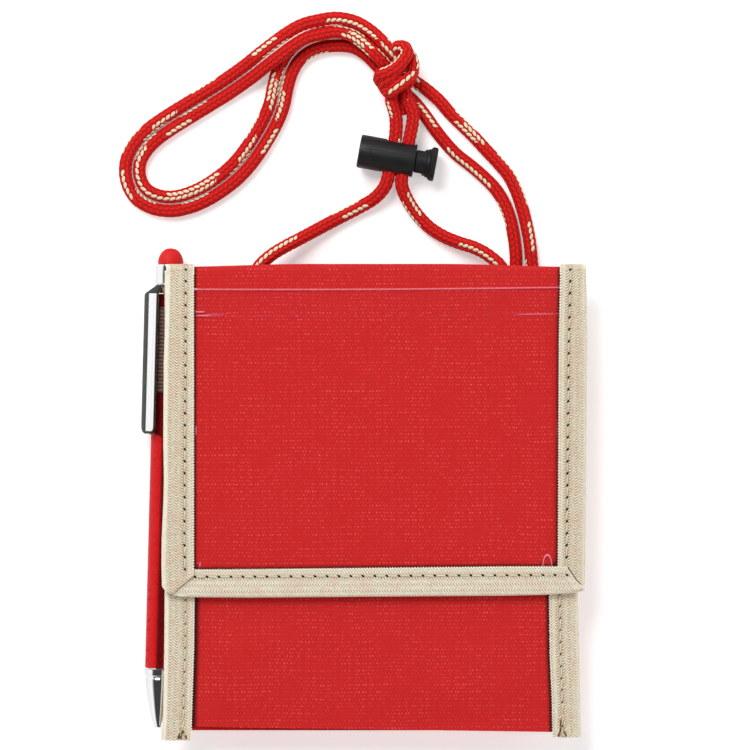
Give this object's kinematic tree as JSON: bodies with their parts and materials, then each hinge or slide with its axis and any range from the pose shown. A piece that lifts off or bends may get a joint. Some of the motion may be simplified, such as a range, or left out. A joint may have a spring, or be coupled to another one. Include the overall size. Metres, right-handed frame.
{
  "type": "neck wallet",
  "caption": "Flat fabric neck wallet with a tray-shaped pouch, a flap with a clear window, a doubled neck cord with knot and spring cord lock, and a stylus pen in an elastic loop.",
  "frame": {"origin": "on the back's resting face, at the middle of the pouch", "axes": "+X to the right seen from the front, +Y up towards the cord, +Z out of the front"},
  "size_m": [0.1367, 0.2131, 0.016],
  "materials": {
    "red_nylon": "plain weave",
    "beige_tape": "herringbone tape",
    "clear_vinyl": "clear and soft",
    "red_fastener": "hook and loop pile",
    "red_braid": "braided",
    "black_plastic": "moulded, matte",
    "spring_steel": "drawn wire",
    "red_gloss_plastic": "glossy",
    "chrome": "polished",
    "red_rubber": "soft, matte",
    "black_elastic": "ribbed elastic",
    "ink_tube": "translucent tube",
    "brass": "turned"
  },
  "bodies": {
    "wallet": {"back_panel": "red_nylon", "front_panel": "red_nylon", "pouch_tape_left": "beige_tape", "pouch_tape_right": "beige_tape", "loop_strip": "red_fastener", "pen_loop": "black_elastic", "cord_tab_left": "red_nylon", "cord_tab_right": "red_nylon", "cord_left_end": "red_braid", "cord_right_end": "red_braid", "cord_neck_loop": "red_braid", "cord_knot": "red_braid", "lock_barrel": "black_plastic", "lock_spring": "spring_steel", "flap_fold": "red_nylon"},
    "flap": {"flap_panel": "red_nylon", "clear_window": "clear_vinyl", "flap_tape_left": "beige_tape", "flap_tape_right": "beige_tape", "flap_tape_bottom": "beige_tape", "hook_strip": "red_fastener"},
    "pen_upper": {"pen_collar": "chrome", "pen_clip": "chrome", "stylus_dome": "red_rubber"},
    "pen_lower": {"pen_barrel": "red_gloss_plastic", "pen_nose_cone": "chrome"},
    "refill": {"pen_refill": "ink_tube", "pen_point": "brass"},
    "plunger": {"lock_plunger": "black_plastic"}
  },
  "joints": [
    {"name": "flap_hinge", "type": "hinge", "parent": "wallet", "child": "flap", "pos_m": [0, 0.0679, 0.01315], "axis": [-1, 0, 0], "range_deg": [0, 165], "deforming": ["flap_fold"]},
    {"name": "pen_slide", "type": "slide", "parent": "wallet", "child": "pen_upper", "axis": [0.0255, 0.9997, 0], "range_m": [0, 0.0073]},
    {"name": "pen_twist", "type": "hinge", "parent": "pen_upper", "child": "pen_lower", "pos_m": [-0.06157, 0.00439, 0.0053], "axis": [0.0255, 0.9997, 0], "range_deg": [0, 120]},
    {"name": "refill_feed", "type": "slide", "parent": "pen_lower", "child": "refill", "axis": [-0.0255, -0.9997, 0], "range_m": [0, 0.0045]},
    {"name": "lock_press", "type": "slide", "parent": "wallet", "child": "plunger", "axis": [-0.9839, 0.1788, 0], "range_m": [0, 0.0033], "stiffness_N_per_m": 600, "springref_m": -0.002, "deforming": ["lock_spring"]}
  ],
  "couplings": [
    {"joint": "refill_feed", "follows": "pen_twist", "m_per_rad": 0.002148}
  ]
}
